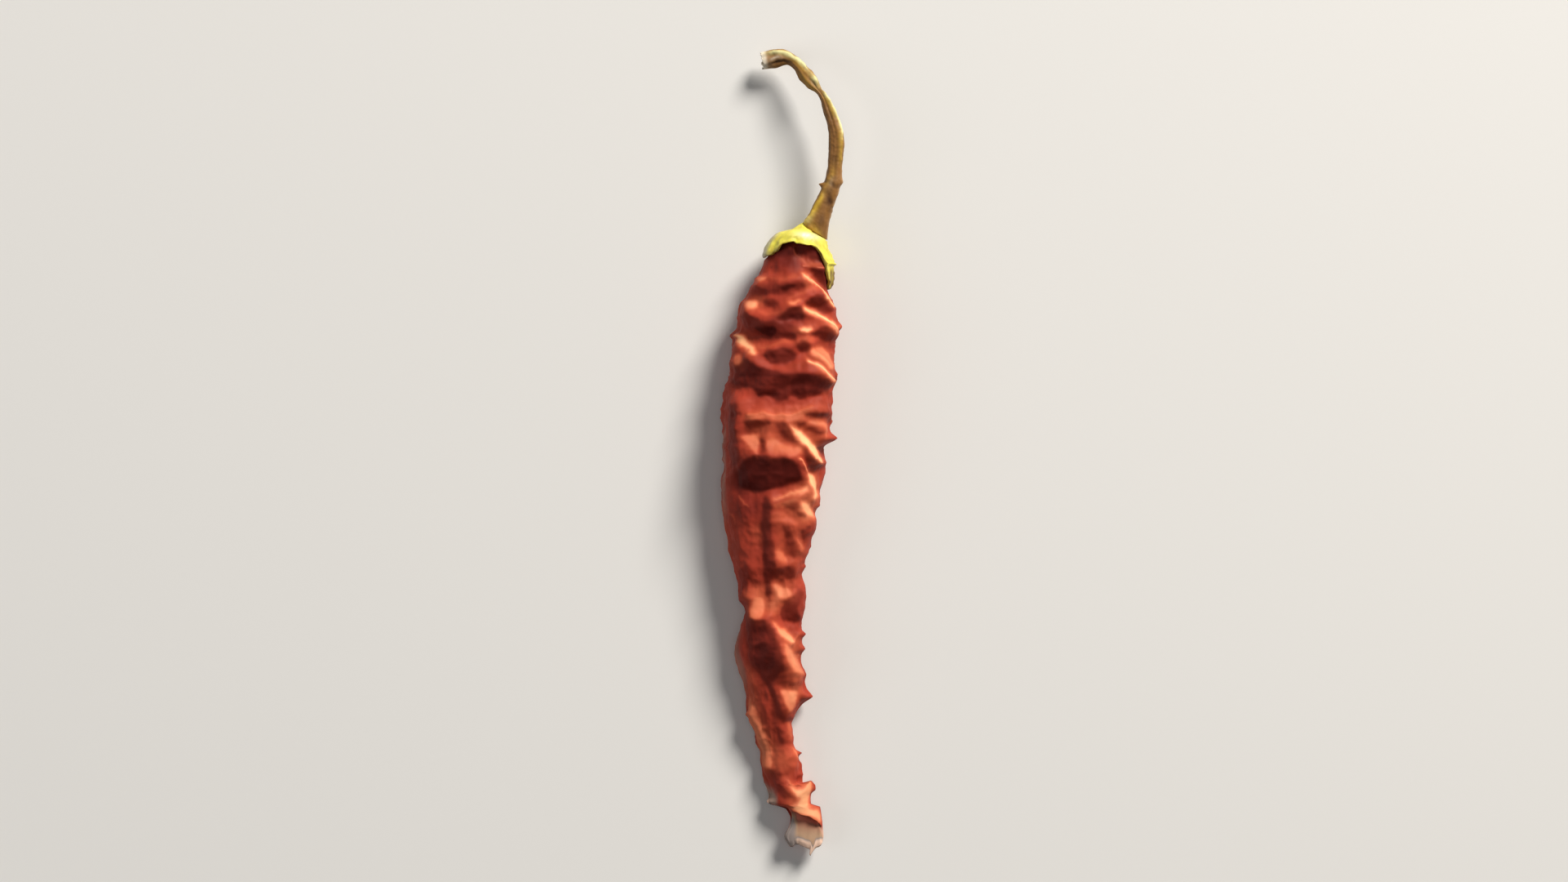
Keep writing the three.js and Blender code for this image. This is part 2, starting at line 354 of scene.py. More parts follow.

# Hollows on the upper side, each as (how deep, and how dark its painted shade, the outline of its border).
hollows = [
    (0.55, [(-1, 30.4), (-0.2, 31.8), (1.6, 31.9), (2.1, 30.3), (1, 29.6), (-0.6, 29.8)]),
    (0.75, [(2.2, 31.8), (5.3, 31), (6.4, 30.2), (6.6, 29.3), (5.6, 29), (4.2, 29.4), (2.4, 30)]),
    (0.75, [(4.5, 27.6), (6.2, 27.8), (6.8, 26.8), (7, 24.6), (6.2, 24.8), (5, 26.5)]),
    (0.5, [(-3.4, 25.3), (0.5, 25.7), (4, 25.7), (4.3, 25.2), (2.2, 24.4), (-1, 23.7), (-4.6, 24.2)]),
    (0.85, [(-0.4, 25.2), (1.6, 25.5), (2.3, 25), (0.9, 24.3), (-0.2, 24.6)]),
    (0.55, [(-2.9, 22.6), (-1.8, 23), (-0.5, 22.6), (-0.6, 22), (-1.8, 21.6), (-2.7, 21.9)]),
    (0.8, [(3.5, 22.9), (4.8, 23.7), (6.5, 23.7), (7.7, 22.3), (7.6, 21), (6.6, 20.8), (5, 21.9),
           (3.8, 22.1)]),
    (0.8, [(-0.9, 20.2), (0.2, 21.4), (1.8, 22), (2.9, 21.9), (3.5, 20.7), (2.4, 19.9), (0, 19.8)]),
    (0.6, [(-6.3, 20.4), (-5.2, 21.3), (-3.8, 20.6), (-2.3, 19.7), (-0.6, 19.9), (2.8, 18.9), (2.4, 17.4),
           (1, 16.8), (-0.4, 16.9), (-1.9, 16.7), (-3.5, 17.2), (-5.4, 18.2), (-6.2, 19)]),
    (1, [(-4.3, 18.6), (-2.8, 19.2), (-1, 19.1), (-0.7, 18), (-1.9, 17.3), (-3.6, 17.8)]),
    (0.7, [(5, 18.4), (6, 19), (7.4, 18.6), (8.3, 17.9), (8, 17), (7, 16.6), (5.2, 17.2), (4.3, 17.9)]),
    (0.8, [(-1.4, 18.4), (0.4, 18.2), (1.4, 17.4), (0.2, 16.9), (-1.2, 17)]),
    (0.75, [(2, 15.9), (2.7, 16.7), (3.6, 16.7), (4.3, 15.7), (3.8, 15), (2.4, 15)]),
    (0.75, [(-3, 15.3), (-1.4, 15.5), (1.4, 15.6), (2.2, 14.6), (1.4, 13.6), (-0.4, 13.3), (-2, 13.4)]),
    (0.75, [(-5.4, 14.5), (-4.2, 13.5), (-3, 12.6), (-1, 12.1), (2, 12), (4.9, 12.1), (7, 10.8),
            (7.3, 10.1), (6, 8.9), (4.4, 8.1), (2.6, 7.9), (1.3, 8.4), (0.4, 7.5), (-1, 7.6),
            (-1.6, 8.3), (-3.4, 8.6), (-5.5, 9.8), (-8.3, 10.1), (-8.2, 11), (-7.2, 12.4)]),
    (0.85, [(1.2, 11.4), (3.4, 12), (5, 11.8), (6.3, 10.6), (5.4, 9), (3.4, 8.3), (1.8, 8.4), (1, 9.6)]),
    (0.85, [(-6.8, 12), (-4.4, 13), (-2, 12.6), (0.4, 11.9), (1.4, 11), (-3, 10.9), (-6.4, 10.9)]),
    (0.85, [(-4, 9), (-2, 9.3), (0.2, 9.2), (-0.4, 8), (-1.4, 8.5), (-3.6, 8.2)]),
    (0.6, [(-7.9, 7.4), (-6.7, 7.3), (-6.7, 4), (-6.4, 1.5), (-5.9, -1), (-7.5, -2.4), (-8.4, -1),
           (-8.5, 6)]),
    (0.5, [(-5.9, 4.3), (-4.6, 4.8), (-3.4, 5), (-2.1, 4.7), (-2, 3.9), (-3.8, 3.7), (-5, 3.3)]),
    (0.5, [(-1.3, 4.4), (0.1, 4.8), (1.2, 3.7), (2.5, 1.9), (2.1, 1.4), (0.4, 2), (-0.9, 3.3)]),
    (0.65, [(-0.3, 3.6), (0.7, 3.7), (1.3, 2.7), (0.8, 2.1), (-0.1, 2.8)]),
    (0.55, [(2.1, 4.6), (3.1, 4.8), (3.6, 4.2), (2.6, 3.9)]),
    (0.7, [(3.3, 5.6), (5, 5.9), (7.1, 6.1), (7, 5.3), (5.5, 5), (3.9, 5.1)]),
    (0.6, [(3.6, 3.4), (4.6, 3.8), (6.5, 3.3), (5.8, 2.8), (4.2, 3)]),
    (0.55, [(-3.5, 2.1), (-2.9, 2.1), (-2.4, 0.5), (-2.6, -0.4), (-3.4, -0.4), (-3.3, 1)]),
    (0.9, [(-5, -0.9), (-3.8, -0.3), (-2, -0.6), (1.2, -0.9), (2.1, -1.9), (2.8, -3.4), (2.6, -4.6),
           (0.2, -5.3), (-1.8, -5.7), (-3, -5.9), (-5, -5.9), (-7, -5.3), (-7.2, -4), (-6.4, -2.4)]),
    (0.8, [(2.7, 0), (3.2, 0.7), (3.8, -0.3), (4.8, -1.2), (6, -1.4), (6, -2.3), (5, -2.9), (3.8, -2.4),
           (3.2, -1.4)]),
    (0.5, [(-0.5, -7.8), (1, -7.4), (2.4, -7.4), (2.4, -8.7), (3, -9.5), (2.2, -9.6), (1.2, -8.8)]),
    (0.65, [(-3.1, -6.8), (-1.8, -7), (-1.4, -11), (-1.1, -15), (-1.4, -19), (-1.8, -21.4),
            (-2.6, -21.4), (-3, -18), (-3.1, -12)]),
    (0.5, [(0.2, -11.2), (1, -11.6), (1.9, -13.5), (2.4, -15.7), (1.4, -15.8), (0.5, -13.2)]),
    (0.55, [(2.7, -12), (3.5, -11.1), (4.2, -11), (4.1, -13), (3.5, -13.9), (3.1, -13)]),
    (0.6, [(-1.9, -17.6), (0, -17.1), (1.8, -17.4), (1.8, -19), (0, -19.3), (-1.7, -19)]),
    (0.5, [(-6.9, -18.4), (-5.8, -17.3), (-4.8, -17.3), (-4.4, -19.2), (-5.6, -20.5), (-6.3, -22.2),
           (-5, -23), (-4.8, -25), (-5.7, -25.4), (-6.8, -21.5)]),
    (0.75, [(0, -23), (1, -21.8), (2.8, -20.6), (2.4, -23.4), (2.7, -25.6), (0.8, -25.9), (-0.4, -24.6)]),
    (0.7, [(-5.8, -23.6), (-4.7, -24), (-3.6, -25.4), (-2, -25.5), (-1, -27.6), (-0.2, -30.2),
           (0, -32.2), (-0.7, -34), (-1.6, -35.3), (-3, -35), (-4.2, -33.6), (-5.3, -32), (-5.6, -29)]),
    (0.8, [(-3.2, -26), (-1.9, -25.7), (-1.1, -27.6), (-0.4, -30), (-1.6, -30.2), (-2.6, -28)]),
    (0.85, [(-4.6, -29.4), (-3.4, -28.6), (-1.8, -28.8), (-1, -30.4), (-0.9, -32.2), (-2, -33.2),
            (-3.6, -33.4), (-4.8, -31.8)]),
    (0.8, [(-4.3, -26.1), (-2.9, -26.3), (-2.2, -27.4), (-3, -28.3), (-4.4, -27.8)]),
    (0.25, [(-0.5, -33.8), (0.6, -33.4), (1.6, -34.2), (1.4, -35.6), (-0.3, -35.3)]),
    (0.6, [(-2.2, -35.2), (-1.1, -35.2), (-0.5, -38), (0.3, -40.2), (1.6, -40.3), (1.4, -41), (-0.3, -41.1),
           (-1.2, -39)]),
    (0.55, [(2.9, -36.8), (3.6, -37.4), (2.7, -38.6), (1.5, -40.6), (1.7, -39.2), (2.5, -37.9)]),
    (0.5, [(-1.2, -41.9), (0.3, -42.5), (0.5, -44.2), (-0.2, -44.2), (-0.8, -42.7)]),
    (0.5, [(-2, -48.5), (0.2, -48.6), (0.3, -50.6), (2, -52.6), (0.4, -52.7), (-1, -51.4)])]

# Puffed patches on the upper side, paler as painted light, in the same way.
puffs = [
    (0.75, [(-3.9, 26.5), (-2.5, 26.6), (-2.6, 25.7), (-3.6, 25.4)]),
    (0.35, [(-2.6, 26.5), (0.6, 26.6), (1.6, 27.4), (3, 26.6), (3.2, 26), (0, 25.9), (-2.4, 26)]),
    (1, [(2.8, 27.2), (3.6, 27.2), (4.6, 26.3), (5.7, 24.7), (4.2, 25.6), (3.4, 26.1)]),
    (0.4, [(3, 25.9), (4.6, 25.9), (6.6, 23.9), (4.4, 24.2), (1, 23), (0.8, 23.6), (3.2, 24.7)]),
    (0.45, [(2.3, 29.5), (4, 29.2), (6.2, 29), (6.2, 28.5), (4.1, 28), (3, 28.5)]),
    (0.85, [(-5.8, 22.9), (-4.2, 22.9), (-3.7, 22), (-4.5, 21.5), (-5.6, 21.9)]),
    (0.3, [(-4.2, 21.9), (-3, 21.4), (-1.4, 21.3), (0.6, 21.8), (0, 21), (-1.4, 20.4), (-2.8, 20.4)]),
    (0.8, [(0.6, 22.9), (2, 23.2), (3, 23), (2.2, 22.2), (1, 22.1)]),
    (0.95, [(3.2, 21.3), (5, 21.6), (6.6, 20.5), (8.2, 19.7), (8.4, 18.6), (7, 19), (5.6, 20.2),
            (4.2, 20.9)]),
    (0.95, [(2.4, 18.9), (4.4, 19.3), (4.5, 18.5), (3.6, 17.8), (2.5, 18.1)]),
    (0.95, [(-7.8, 18.4), (-6.4, 17.8), (-4.6, 16.3), (-3.9, 15.2), (-4.3, 14.5), (-5.6, 15.6),
            (-7.2, 16.4)]),
    (0.4, [(-4.6, 16.5), (-2, 16.3), (0, 17), (2, 16.9), (3.8, 17.8), (5.2, 17.1), (4.6, 16.2), (2, 16.5),
           (-0.4, 15.9), (-3, 15.5), (-4.2, 15.7)]),
    (0.65, [(4.8, 16), (6.2, 16.1), (7.5, 15), (8, 13.2), (7.4, 12.9), (6, 14.5), (5, 15.1)]),
    (0.95, [(3.6, 14.1), (5.6, 13.1), (7.6, 11.2), (7.4, 10.6), (5.6, 11.9), (4.4, 12.7)]),
    (0.15, [(-4, 14.4), (-3, 14.2), (-1.8, 13.2), (1, 13.3), (3.4, 14), (3.8, 13), (2, 12.3), (-1, 12.3),
           (-3, 12.9)]),
    (0.6, [(-7.4, 14.6), (-6, 15), (-5.4, 13.8), (-6.6, 12.7)]),
    (0.4, [(-5.8, 5.6), (-3, 6), (-1.2, 5.6), (1, 5.6), (3, 6.2), (4.6, 7.1), (3.4, 5), (1, 4.5),
            (-1.6, 4.6), (-2, 5), (-4.6, 4.7)]),
    (0.15, [(-6.4, 8.4), (-3, 7.8), (0.6, 7.2), (4, 7.7), (6.8, 9.6), (7.3, 7.5), (6.4, 6.5), (3, 6.8),
           (0, 6.2), (-6, 5.7)]),
    (0.6, [(3.6, 4.5), (5, 4.8), (6.6, 4.6), (7.2, 3), (6.6, 1.9), (6.2, 3.6), (4.6, 4.1)]),
    (1, [(1, 4.2), (2.1, 3.9), (3.6, 2.7), (4.8, 1.4), (5.9, 0), (5.8, -1.6), (4.5, -1.3), (3, 0.7),
         (2, 2.1)]),
    (0.65, [(-6.3, 2.5), (-5, 3.1), (-3.7, 2.7), (-3.6, -0.2), (-4.6, 0), (-5.7, 1.1)]),
    (0.5, [(-2.6, 1.6), (-1.4, 2.2), (1, 1.2), (2.6, 0.9), (2.4, -0.5), (-0.8, -0.7), (-2.3, -0.2)]),
    (0.95, [(3.9, -3.2), (5.4, -3.4), (5.9, -5), (5.7, -7), (4.7, -7.2), (4.4, -5.6)]),
    (0.8, [(3.9, -4.9), (2, -5.7), (-1.3, -6.7), (-1.3, -7.3), (1, -6.8), (3.2, -6.1), (4, -5.6)]),
    (0.75, [(2.4, -7.2), (4.4, -7.6), (4.7, -10.1), (3.6, -10), (2.6, -8.6)]),
    (0.45, [(-1.2, -7.4), (2, -7), (1.8, -7.9), (0, -8.6), (-1.4, -8.4)]),
    (0.25, [(-1.6, -8.8), (-0.4, -8.6), (1.8, -10.2), (2, -11.3), (0.8, -10.9), (-1.4, -10.3)]),
    (0.5, [(2.1, -13.3), (2.8, -13.4), (3.3, -14.6), (2.6, -15.3)]),
    (0.5, [(-1.2, -14.6), (-0.2, -14.4), (1.2, -16.1), (0.4, -16.7), (-0.8, -16.4)]),
    (0.6, [(-1.6, -20.3), (-0.2, -19.9), (1.5, -20.8), (1.4, -22), (-0.4, -22.1)]),
    (0.3, [(-5.7, -20.9), (-3, -20.6), (-1.9, -22.6), (-0.7, -22.6), (-0.9, -25), (-2.6, -25),
           (-5, -22.6)]),
    (0.65, [(-4.3, -22), (-2.7, -22), (-2.5, -25), (-3.6, -25.5), (-4.6, -24.8), (-4.6, -23.2)]),
    (0.85, [(-1.5, -25.7), (-0.2, -26.3), (1.2, -26.9), (2.3, -28.6), (1.4, -29.1), (-0.4, -28.2)]),
    (0.65, [(0, -29.2), (2, -30.2), (3, -32.6), (3.3, -34), (1.6, -33.6), (0.4, -32)]),
    (0.7, [(-0.4, -36.2), (1.2, -36), (2.7, -36.6), (1.6, -39.2), (0.7, -39.7)]),
    (0.6, [(-6, -37), (-4.6, -38.6), (-3.3, -42), (-2, -45.4), (-1.4, -48.1), (-3, -48.3), (-4.4, -44),
           (-5.8, -40.3)]),
    (0.5, [(0.4, -41.2), (1.5, -41.2), (1.6, -43.6), (0.9, -43.6)]),
    (0.8, [(1.4, -44.8), (2.4, -45.8), (2.6, -48.4), (1.8, -46.6)]),
    (0.85, [(0.6, -50), (2.4, -51), (5.2, -50.4), (5, -52), (4.5, -54), (6, -54.5), (6, -56.6), (4.4, -56),
            (1.2, -54.3), (2.2, -53)])]

# Broad patches of painted light (above 0) and painted shade on the skin, such as the shadow under the
# calyx, which change only the colour.
shades = [
    (-0.85, [(-2.2, 30.6), (-0.6, 31.4), (2.2, 31), (3, 28.6), (2.2, 27.2), (-0.6, 27.4), (-2, 28.4)]),
    (-0.75, [(4.2, 30.2), (6.8, 30), (7.4, 26), (6.8, 24.6), (5.4, 26.9), (4, 28.6)]),
    (-0.4, [(-3.4, 25.2), (0, 25.8), (3, 25.4), (2.4, 24), (-1, 23.8), (-3.4, 24.2)]),
    (-0.75, [(-1.6, 20.2), (1, 20.8), (3, 20.6), (2.8, 19.4), (0.6, 19.2), (-1.4, 19.4)]),
    (-0.3, [(-4, 13.6), (-2, 13.4), (1, 12.6), (1, 11.6), (-3, 11.6)]),
    (-0.3, [(-5, 8.6), (1, 8), (0.6, 6.8), (-5.4, 6.6)]),
    (-0.3, [(-8, 6), (-6, 6), (-6, 2), (-8, 2)]),
    (-0.65, [(-8, -1), (-6.6, -1), (-5, -6), (-3, -6.4), (-3.2, -9.6), (-5, -10.4), (-8, -8)]),
    (0.5, [(5.6, 19.4), (8.4, 19.4), (8.4, 17.4), (6.6, 17.4)]),
    (0.45, [(4, 14.8), (6, 15.4), (8, 14.6), (8, 10.2), (6.8, 10.4), (6.6, 12.2), (4.6, 13.6)]),
    (0.4, [(-6, 6.4), (6, 6.8), (7, 3), (6, 0), (3, -0.4), (-4, 1.6)]),
    (0.5, [(2.2, -4.8), (4.6, -3.4), (6, -5), (5.6, -8.6), (3.8, -10.6), (1.8, -9.4), (0.4, -7.4)]),
    (0.3, [(-1, -9), (3.6, -8.4), (4, -12), (3, -18), (2.2, -24), (-1, -24), (-1.2, -14)]),
    (0.3, [(-5, -20.4), (-3, -20.6), (-3, -24), (-4.8, -24)]),
    (0.4, [(-3, -20.4), (0, -20.4), (0.2, -23.6), (-2.6, -24.2)]),
    (0.35, [(-5, -10.4), (-3, -10), (-2.8, -13), (-4.4, -13.4)]),
    (0.4, [(-4.4, 24), (-2.6, 24), (-2.4, 22.2), (-4.2, 22)]),
    (0.5, [(-0.4, -28.6), (2.8, -28.6), (3.2, -36), (2.4, -38.4), (0.4, -38), (0.4, -33)]),
    (0.45, [(-6.4, -32.6), (-4.6, -34), (-3.4, -40), (-1, -44), (1.4, -46), (1.2, -48.6), (-2, -48.8),
            (-5, -40)]),
    (0.4, [(1, -51.4), (4, -51.4), (6, -55), (6, -57), (0.4, -54)])]

# Thin painted highlights along the crests: (paleness, half width, height, the line).
crests = [
    (1, 0.62, 0.25, [(3.5, 21.5), (4.8, 21.2), (6.4, 20.1), (8.2, 18.9)]),
    (0.9, 0.5, 0.2, [(-7.4, 17.7), (-6, 16.9), (-4.8, 15.9), (-4.1, 15)]),
    (1, 0.5, 0.25, [(3.8, 13.8), (5.2, 12.9), (6.4, 11.9), (7.6, 10.9)]),
    (0.75, 0.7, 0.1, [(4.6, 15.4), (5.8, 14.5), (7.2, 13)]),
    (0.8, 0.6, 0, [(7.2, 19), (8, 18.3)]),
    (0.8, 0.6, 0, [(6.4, 11.6), (7.2, 10.8)]),
    (0.65, 0.8, 0, [(-4.9, -39), (-4.6, -40.6), (-3.8, -43), (-2.9, -45.8)]),
    (1, 0.3, 0.3, [(4.4, 26.2), (5.6, 24.7), (7.6, 22)]),
    (0.6, 0.2, 0.2, [(3.2, 28.2), (4.6, 28.1), (5.8, 28.1)]),
    (0.3, 0.12, 0.08, [(1.5, 31.8), (1.8, 30.6), (2.3, 29.4)]),
    (0.45, 0.3, 0.3, [(-5.2, 5.8), (-2.8, 6), (-1.2, 5.5), (1, 5.4), (2.6, 5.8), (4.2, 7)]),
    (0.9, 0.2, 0.3, [(2.2, -1), (3, -1.9), (3.9, -3.1)]),
    (0.35, 0.14, 0.06, [(-6.9, -6.6), (-6.2, -7.4), (-5.2, -8.3)]),
    (0.3, 0.12, 0.06, [(-8.2, -9), (-7.2, -10.8)]),
    (0.4, 0.2, 0.2, [(1.6, -28.9), (2.4, -28.4), (2.9, -27.4)]),
    (0.5, 0.2, 0.2, [(2.7, -31), (2.8, -32.6), (3.4, -34)])]


# Where the calyx ends on the pod, by the angle round it in degrees.
calyxRim = smoothRun([
    (-180, 29.6), (-160, 30), (-140, 30.4), (-125, 28.8), (-110, 30.6), (-90, 30.4), (-75, 28.6),
    (-60, 30.2), (-35, 28.5), (-15, 25.6), (0, 24.8), (10, 24.9), (18, 25.3), (26, 25.9),
    (33, 26.6), (40, 27.4), (44, 28.8), (47, 30.2), (52, 30.9), (70, 31.4), (90, 31.8), (108, 31.7),
    (116, 31.6), (126, 30.6), (140, 30), (160, 29.6), (180, 29.6)])

foldGrid = {"left": -16.0, "right": 16.0, "low": -70.0, "high": 42.0, "step": 0.12}


def paintFolds():  # the upper side's folds on a flat grid: relief, painted shade, painted light
    step = foldGrid["step"]
    across = np.arange(foldGrid["left"], foldGrid["right"], step)
    along = np.arange(foldGrid["low"], foldGrid["high"], step)
    x, y = [a.ravel() for a in np.meshgrid(across, along)]
    flat = np.stack([x, y, np.zeros_like(x)], 1)
    px = x + 0.28 * grainAt(flat, 0.7, 1) + 0.1 * grainAt(flat, 2.2, 2)  # borders wander a little
    py = y + 0.28 * grainAt(flat, 0.7, 3) + 0.1 * grainAt(flat, 2.2, 4)
    hollow, pale, raised = np.zeros_like(x), np.zeros_like(x), np.zeros_like(x)
    for dark, outline in hollows:
        hollow = np.maximum(hollow, patchOf(px, py, outline, podSet["blur"]) * dark)
    for bright, outline in puffs:
        pale = np.maximum(pale, patchOf(px, py, outline, podSet["puffBlur"]) * bright)
    for bright, halfWidth, height, line in crests:
        near = np.exp(-(lineDistance(px, py, line) / halfWidth) ** 2)
        pale = np.maximum(pale, near * bright)
        raised = np.maximum(raised, near * height)
    light, blend = np.zeros_like(x), podSet["shadeBlur"]
    for amount, outline in shades:
        light = light + amount * rise(depthInside(x, y, rounded(outline), blend), -blend, blend)
    lengthwise = rise(-y, -2, 8)  # folds run across the pod above, along it below
    loose = (1 - lengthwise) * grainAt(flat * (0.45, 1, 1), 1.0, 5)
    loose += lengthwise * grainAt(flat * (1, 0.3, 1), 1.0, 6)
    loose += 0.5 * grainAt(flat, 2.4, 7)
    slope = (pale - hollow + podSet["loose"] * loose).reshape(len(along), len(across))
    relief = reliefOf(slope, step) + (podSet["crestHeight"] * raised).reshape(slope.shape)
    # the broad shades add painted shade and painted light to the colour only
    hollow = hollow + np.clip(-light, 0, 1) * (1 - hollow)
    pale = pale + np.clip(light, 0, 1) * (1 - pale) * (1 - hollow)
    return relief, hollow.reshape(slope.shape), pale.reshape(slope.shape)


def rounded(outline, parts=3):  # the closed curve through an outline's points
    p = np.array(outline, float)
    before, after, far = np.roll(p, 1, 0), np.roll(p, -1, 0), np.roll(p, -2, 0)
    rows = []
    for u in np.arange(parts) / parts:
        bend = (2 * before - 5 * p + 4 * after - far) * u * u / 2
        twist = (3 * p - before - 3 * after + far) * u ** 3 / 2
        rows.append(p + (after - before) * u / 2 + bend + twist)
    return [tuple(q) for q in np.stack(rows, 1).reshape(-1, 2)]


def patchOf(x, y, outline, blur):  # a patch with a firm border inside a soft, wider one
    reach, firm = podSet["halo"], 0.6
    depth = depthInside(x, y, rounded(outline), reach)
    return firm * rise(depth, -0.2, blur) + (1 - firm) * rise(depth, -reach, blur * 1.5)


def reliefOf(slope, step):  # heights that fall towards the light as steeply as slope says
    waveX = 2 * pi * np.fft.fftfreq(slope.shape[1], step)[None, :]
    waveY = 2 * pi * np.fft.fftfreq(slope.shape[0], step)[:, None]
    lightX, lightY = podSet["lightFrom"]
    towards = waveX * lightX + waveY * lightY
    whole = waveX ** 2 + waveY ** 2
    limit = (2 * pi / podSet["widestFold"]) ** 2
    soften = np.exp(-whole * podSet["smallestFold"] ** 2 / 2)
    evened = towards ** 2 + podSet["sideways"] * whole + limit
    heights = 1j * towards / evened * np.fft.fft2(slope) * soften
    return podSet["steepness"] * np.real(np.fft.ifft2(heights))


def readGrid(grid, x, y):  # the grid's value under every point
    column = np.clip((x - foldGrid["left"]) / foldGrid["step"], 0, grid.shape[1] - 1.001)
    row = np.clip((y - foldGrid["low"]) / foldGrid["step"], 0, grid.shape[0] - 1.001)
    i, j = column.astype(int), row.astype(int)
    u, v = column - i, row - j
    lower = grid[j, i] * (1 - u) + grid[j, i + 1] * u
    upper = grid[j + 1, i] * (1 - u) + grid[j + 1, i + 1] * u
    return lower * (1 - v) + upper * v


def pointed(edge, points, along, facing):  # an edge of the pod with its small points
    for where, out, halfLength in points:
        point = np.exp(-np.abs((along - where) / halfLength) ** 1.5)
        edge = edge + out * point * np.clip(facing, 0, 1) ** 8
    return edge


def podSection(along, angle):  # places and outward directions, before the wrinkles
    c, s = np.cos(angle), np.sin(angle)
    right = pointed(rightEdge(along), rightPoints, along, c)
    left = -pointed(-leftEdge(along), leftPoints, along, -c)
    halfWidth, depth = (right - left) / 2, halfDepth(along)
    e = podSet["squareness"]
    across = np.sign(c) * np.abs(c) ** e * halfWidth
    upward = np.sign(s) * np.abs(s) ** e * depth
    normal = np.stack([c / halfWidth, np.zeros_like(c), s / depth], 1)
    normal /= np.linalg.norm(normal, axis=1)[:, None]
    place = np.stack([(left + right) / 2 + across, along, middleHeight(along) + upward], 1)
    return place, normal


def podWrinkles(place, angle):  # height, painted shade and painted light of every point
    relief, hollow, pale = [readGrid(g, place[:, 0], place[:, 1]) for g in paintFolds()]
    upper = rise(np.sin(angle), -0.15, 0.2)
    lengthwise = rise(-place[:, 1], 0, 8)
    cells = (1 - lengthwise) * bowlsAt(place * podSet["acrossBowls"], 1.0, 8)
    cells += lengthwise * bowlsAt(place * podSet["alongBowls"], 1.0, 9)
    shrivel = (cells - 0.4) * podSet["shrivel"] * (1 - upper)
    soft = podSet["swells"] * grainAt(place, 0.6, 10) * (1 - 0.5 * upper)
    creases = 1 - np.abs(grainAt(place, 0.7, 11)) - 0.5 * np.abs(grainAt(place, 1.4, 12))
    fine = (creases - 0.6) * podSet["grain"]
    # painted shade in the bowls' middles, painted light on the crests between them
    paintedShade = hollow * upper + (1 - upper) * rise(0.5 - cells, 0, 0.5) * podSet["bowlShade"]
    paintedLight = pale * upper + (1 - upper) * rise(cells, 0.7, 1.0) * podSet["bowlLight"]
    return relief * upper + shrivel + soft + fine, paintedShade, paintedLight


def podPlaces(t, angle):  # every point of the pod's tube, from the stem's end to inside the mouth
    top, shoulder, bend = podSet["top"], podSet["shoulder"], podSet["shoulderRings"]
    outerShare = 1 - podSet["mouthRings"] / podSet["rings"]
    edge = tornEdge(np.degrees(angle)) + podSet["ragged"] * grainAt(ringAt(angle), 6.0, 13)
    f = np.clip(t / outerShare, 0, 1)
    dome = np.clip(f / bend, 0, 1) * pi / 2
    past = np.clip((f - bend) / (1 - bend), 0, 1)
    along = top - shoulder * (1 - np.cos(dome)) + (edge - top + shoulder) * past
    inward = np.clip((t - outerShare) / (1 - outerShare), 0, 1)
    along = along + (podSet["throat"] - edge) * inward ** 1.2
    inset = podSet["wall"] * np.clip(inward * 8, 0, 1)
    close = 1 - rise(inward, 0.75, 1.0)
    return along, np.sin(dome) * close, inset, inward, edge


def fleshOf(place, angle, inward, edge):  # how much inner flesh shows, and its tone, with a painted pale rim light along the left edge
    x = place[:, 0] + 0.25 * grainAt(place, 1.0, 14)
    y = place[:, 1] + 0.25 * grainAt(place, 1.0, 15)
    below = lipLine(x) - y
    deep, inner, greyed, dry = 0.1, 0.55, 0.75, 1.0  # places along the flesh tones; deep, just under the lip, is a brighter red, painted light in the lip's shadow
    tone = deep + (inner - deep) * rise(below + 0.45 * (x - 2.2), 0.6, 3.2)
    lobe = rise(-x, -2.5, -1.7) * rise(below, 0.2, 1.2)  # the mouth's left side
    tone = tone + (greyed - tone) * lobe
    rim = rise(edge - y, -1.7, -0.9) * rise(x, 1.7, 2.6) * rise(below, 1.4, 2.2)
    tone = tone + (dry - tone) * rim
    inside = inward > 0.02
    # a painted pale rim light along the left edge, in two bands along the pod
    leftSide = np.exp(-((np.abs(np.degrees(angle)) - 180) / 8) ** 2)
    rimLightBands = rise(y, -12, -6) * rise(-y, -6, -2) + rise(y, -38, -34) * rise(-y, 23, 26)
    flap = rise(-y - 0.6 * x, 51.6, 53.2) * rise(-x, 0.5, 1.4)  # the torn left corner
    lowerRim = (1 - rise(place[:, 1] - edge, 0.1, 0.7)) * rise(-np.sin(angle), 0, 0.2)
    rightRim = rise(below, -0.2, 0.6) * rise(np.cos(angle), 0.4, 0.8) * rise(x, 2.6, 3.6)
    shares = [1.0 * inside, 0.5 * leftSide * rimLightBands, 0.9 * flap, 0.9 * lowerRim, 0.75 * rightRim]
    outerTone = 0.68 + 0.32 * rise(x, 1.9, 2.8) * rise(-y, 56, 57)
    return np.max(shares, axis=0), np.where(inside, tone, outerTone)


